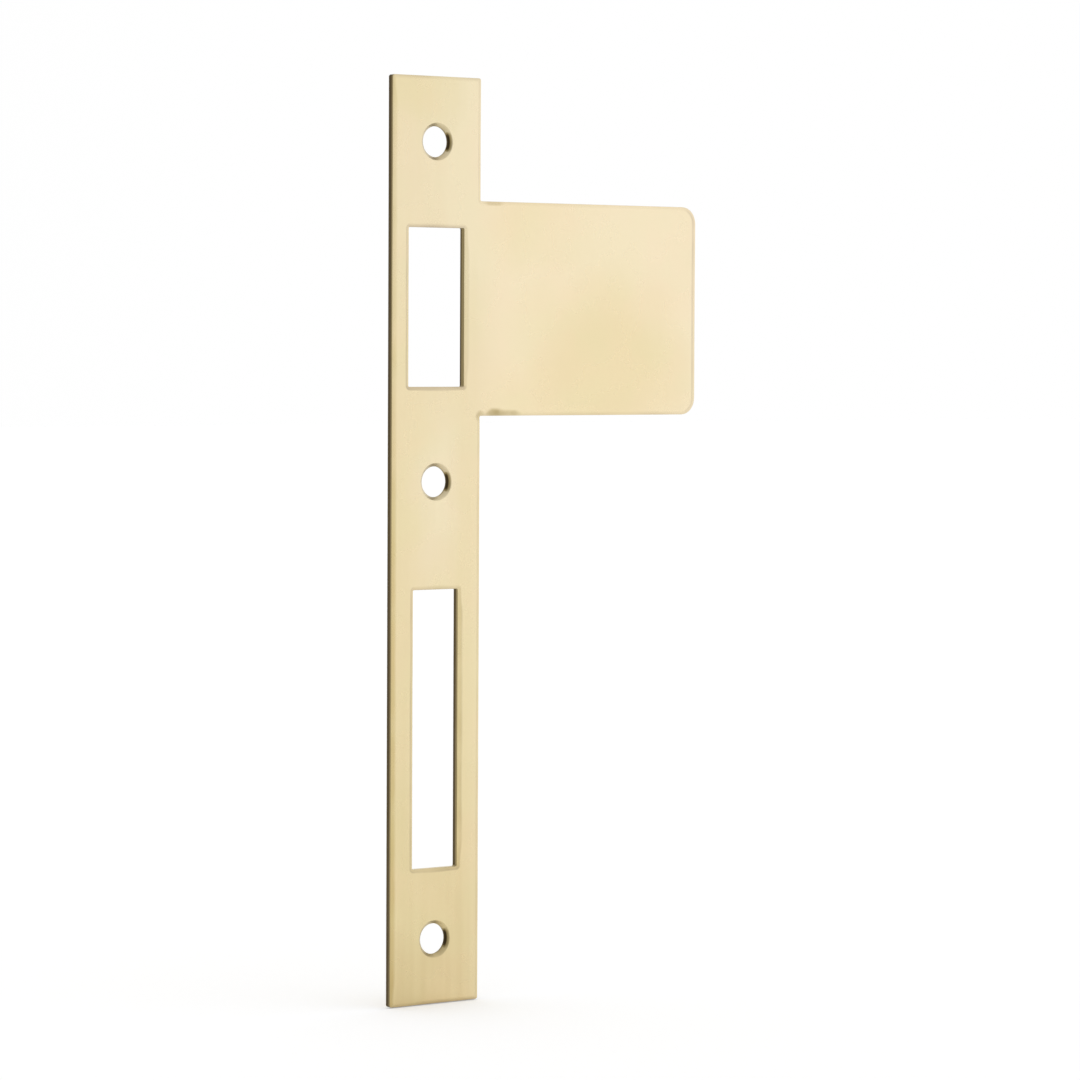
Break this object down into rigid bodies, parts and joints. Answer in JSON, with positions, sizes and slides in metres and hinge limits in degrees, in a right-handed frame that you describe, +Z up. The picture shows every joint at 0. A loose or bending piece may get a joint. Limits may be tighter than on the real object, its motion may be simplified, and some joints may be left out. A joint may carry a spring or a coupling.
{
  "type": "door strike plate",
  "caption": "Flat sheet brass door strike plate with a latch slot above a longer deadbolt slot, countersunk screw holes down its centre line and a wide flat tab reaching out from one side.",
  "frame": {"origin": "middle of the plate's flat back face, halfway along its length and across its width, leaving the tab out of account", "axes": "+Z up the plate's length towards the latch slot, +X across its width towards the tab, +Y out of the back face into the door frame, so that the polished front looks along -Y"},
  "size_m": [0.0857, 0.0018, 0.205],
  "materials": {
    "brass": "satin polished front, darker sheared edges"
  },
  "bodies": {
    "root": {"strike_plate": "brass"}
  },
  "joints": []
}
